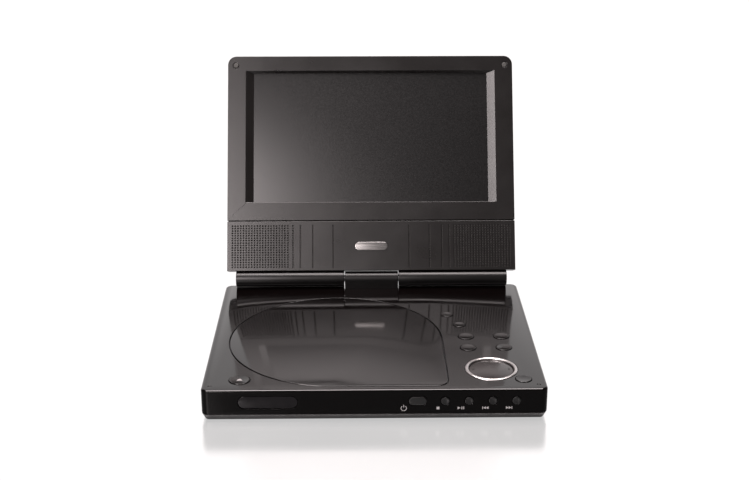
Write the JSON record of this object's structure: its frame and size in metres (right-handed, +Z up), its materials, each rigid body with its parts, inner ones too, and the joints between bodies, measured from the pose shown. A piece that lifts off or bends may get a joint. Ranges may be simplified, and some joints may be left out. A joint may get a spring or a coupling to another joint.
{
  "type": "portable disc player",
  "caption": "Flat clamshell disc player: base with round lift-up disc cover, rocker dial and round keys, and a wide screen with corner speakers on a rear friction hinge.",
  "frame": {"origin": "centre of the whole product's footprint at rest, with the screen leaning back, on the surface under the feet", "axes": "+X to the user's right, +Y from the front keys towards the screen, +Z up"},
  "size_m": [0.1926, 0.2238, 0.1608],
  "materials": {
    "deck_gloss": "glossy dark brown-grey lacquered plastic",
    "case_black": "glossy black plastic",
    "bottom_grey": "satin dark grey plastic",
    "inner_black": "matt black plastic",
    "key_satin": "satin grey-brown plastic",
    "chrome_ring": "bright plated ring",
    "steel": "plain steel",
    "screw_brass": "machined brass",
    "rubber": "matt black rubber",
    "smoke_window": "smoked infrared window",
    "lcd_face": "dark display face with an anti-glare film",
    "diffuser_white": "white diffuser",
    "circuit_green": "green circuit board",
    "battery_wrap": "shrink wrap",
    "lens_glass": "coated lens",
    "speaker_cone": "paper cone and steel basket, dark",
    "badge_satin": "satin plate with no lettering"
  },
  "bodies": {
    "base": {"bottom_case": "bottom_grey", "top_cover": "deck_gloss", "sensor_window": "smoke_window", "hinge_knuckle": "case_black", "hinge_shaft_left": "steel", "hinge_shaft_right": "steel", "drive_chassis": "steel", "disc_tray": "inner_black", "spindle_motor": "steel", "feed_motor": "steel", "guide_rod": "steel", "main_board": "circuit_green", "battery_pack": "battery_wrap", "headphone_jack": "inner_black", "av_jack": "inner_black", "dc_jack": "inner_black", "dial_ring": "chrome_ring", "foot_front_left": "rubber", "foot_rear_left": "rubber", "foot_front_right": "rubber", "foot_rear_right": "rubber", "case_screw_front_left": "steel", "case_screw_rear_left": "steel", "case_screw_front_right": "steel", "case_screw_rear_right": "steel"},
    "screen": {"screen_bezel": "deck_gloss", "screen_back": "case_black", "speaker_panel": "deck_gloss", "lcd_panel": "lcd_face", "backlight_unit": "diffuser_white", "screen_board": "circuit_green", "speaker_left": "speaker_cone", "speaker_right": "speaker_cone", "bumper_left": "rubber", "bumper_right": "rubber", "badge": "badge_satin", "barrel_left": "case_black", "barrel_right": "case_black"},
    "disc_cover": {"disc_cover": "deck_gloss"},
    "open_button": {"open_button": "key_satin"},
    "cover_latch": {"cover_latch": "inner_black"},
    "dial_plunger": {"dial_plunger": "inner_black"},
    "dial_gimbal": {"dial_gimbal": "inner_black"},
    "dial_pad": {"dial_pad": "key_satin"},
    "turntable": {"turntable": "inner_black"},
    "pickup_sled": {"pickup_sled": "inner_black"},
    "pickup_lens": {"pickup_lens": "lens_glass"},
    "lead_screw": {"lead_screw": "screw_brass"},
    "key_display": {"key_display": "key_satin"},
    "key_mode": {"key_mode": "key_satin"},
    "key_menu": {"key_menu": "key_satin"},
    "key_setup": {"key_setup": "key_satin"},
    "key_search": {"key_search": "key_satin"},
    "key_return": {"key_return": "key_satin"},
    "key_stop": {"key_stop": "key_satin"},
    "front_key_stop": {"front_key_stop": "case_black"},
    "front_key_play": {"front_key_play": "case_black"},
    "front_key_back": {"front_key_back": "case_black"},
    "front_key_forward": {"front_key_forward": "case_black"},
    "power_key": {"power_key": "case_black"}
  },
  "joints": [
    {"name": "screen_tilt", "type": "hinge", "parent": "base", "child": "screen", "pos_m": [0, 0.04177, 0.0247], "axis": [-1, 0, 0], "range_deg": [-115.6, 35]},
    {"name": "disc_cover_swing", "type": "hinge", "parent": "base", "child": "disc_cover", "pos_m": [-0.0222, 0.02427, 0.0159], "axis": [-1, 0, 0], "range_deg": [0, 45]},
    {"name": "open_press", "type": "slide", "parent": "base", "child": "open_button", "axis": [0, 0, -1], "range_m": [0, 0.0012], "stiffness_N_per_m": 400, "springref_m": -0.002},
    {"name": "latch_slide", "type": "slide", "parent": "base", "child": "cover_latch", "axis": [-0.6972, -0.7168, 0], "range_m": [0, 0.0012]},
    {"name": "key_display_press", "type": "slide", "parent": "base", "child": "key_display", "axis": [0, 0, -1], "range_m": [0, 0.0005], "stiffness_N_per_m": 300, "springref_m": -0.0015},
    {"name": "key_mode_press", "type": "slide", "parent": "base", "child": "key_mode", "axis": [0, 0, -1], "range_m": [0, 0.0005], "stiffness_N_per_m": 300, "springref_m": -0.0015},
    {"name": "key_menu_press", "type": "slide", "parent": "base", "child": "key_menu", "axis": [0, 0, -1], "range_m": [0, 0.0005], "stiffness_N_per_m": 300, "springref_m": -0.0015},
    {"name": "key_setup_press", "type": "slide", "parent": "base", "child": "key_setup", "axis": [0, 0, -1], "range_m": [0, 0.0005], "stiffness_N_per_m": 300, "springref_m": -0.0015},
    {"name": "key_search_press", "type": "slide", "parent": "base", "child": "key_search", "axis": [0, 0, -1], "range_m": [0, 0.0005], "stiffness_N_per_m": 300, "springref_m": -0.0015},
    {"name": "key_return_press", "type": "slide", "parent": "base", "child": "key_return", "axis": [0, 0, -1], "range_m": [0, 0.0005], "stiffness_N_per_m": 300, "springref_m": -0.0015},
    {"name": "key_stop_press", "type": "slide", "parent": "base", "child": "key_stop", "axis": [0, 0, -1], "range_m": [0, 0.0005], "stiffness_N_per_m": 300, "springref_m": -0.0015},
    {"name": "dial_press", "type": "slide", "parent": "base", "child": "dial_plunger", "axis": [0, 0, -1], "range_m": [0, 0.0004], "stiffness_N_per_m": 500, "springref_m": -0.0012},
    {"name": "dial_rock", "type": "hinge", "parent": "dial_plunger", "child": "dial_gimbal", "pos_m": [0.0669, -0.08533, 0.0163], "axis": [1, 0, 0], "range_deg": [-2, 2], "stiffness_Nm_per_rad": 0.3},
    {"name": "dial_roll", "type": "hinge", "parent": "dial_gimbal", "child": "dial_pad", "pos_m": [0.0669, -0.08533, 0.0163], "axis": [0, 1, 0], "range_deg": [-2, 2], "stiffness_Nm_per_rad": 0.3},
    {"name": "front_key_stop_press", "type": "slide", "parent": "base", "child": "front_key_stop", "axis": [0, 1, 0], "range_m": [0, 0.0004], "stiffness_N_per_m": 300, "springref_m": -0.0015},
    {"name": "front_key_play_press", "type": "slide", "parent": "base", "child": "front_key_play", "axis": [0, 1, 0], "range_m": [0, 0.0004], "stiffness_N_per_m": 300, "springref_m": -0.0015},
    {"name": "front_key_back_press", "type": "slide", "parent": "base", "child": "front_key_back", "axis": [0, 1, 0], "range_m": [0, 0.0004], "stiffness_N_per_m": 300, "springref_m": -0.0015},
    {"name": "front_key_forward_press", "type": "slide", "parent": "base", "child": "front_key_forward", "axis": [0, 1, 0], "range_m": [0, 0.0004], "stiffness_N_per_m": 300, "springref_m": -0.0015},
    {"name": "power_key_press", "type": "slide", "parent": "base", "child": "power_key", "axis": [0, 1, 0], "range_m": [0, 0.0004], "stiffness_N_per_m": 300, "springref_m": -0.0015},
    {"name": "turntable_spin", "type": "hinge", "parent": "base", "child": "turntable", "pos_m": [-0.0222, -0.04313, 0.0116], "axis": [0, 0, 1], "continuous": true},
    {"name": "sled_slide", "type": "slide", "parent": "base", "child": "pickup_sled", "axis": [-1, 0, 0], "range_m": [0, 0.034]},
    {"name": "lens_focus", "type": "slide", "parent": "pickup_sled", "child": "pickup_lens", "axis": [0, 0, 1], "range_m": [-0.0002, 0.0003], "stiffness_N_per_m": 80},
    {"name": "lead_screw_turn", "type": "hinge", "parent": "base", "child": "lead_screw", "pos_m": [-0.06, -0.02623, 0.006], "axis": [1, 0, 0], "continuous": true}
  ],
  "couplings": [
    {"joint": "latch_slide", "follows": "open_press", "ratio": 1},
    {"joint": "lead_screw_turn", "follows": "sled_slide", "rad_per_m": 2094.4}
  ]
}
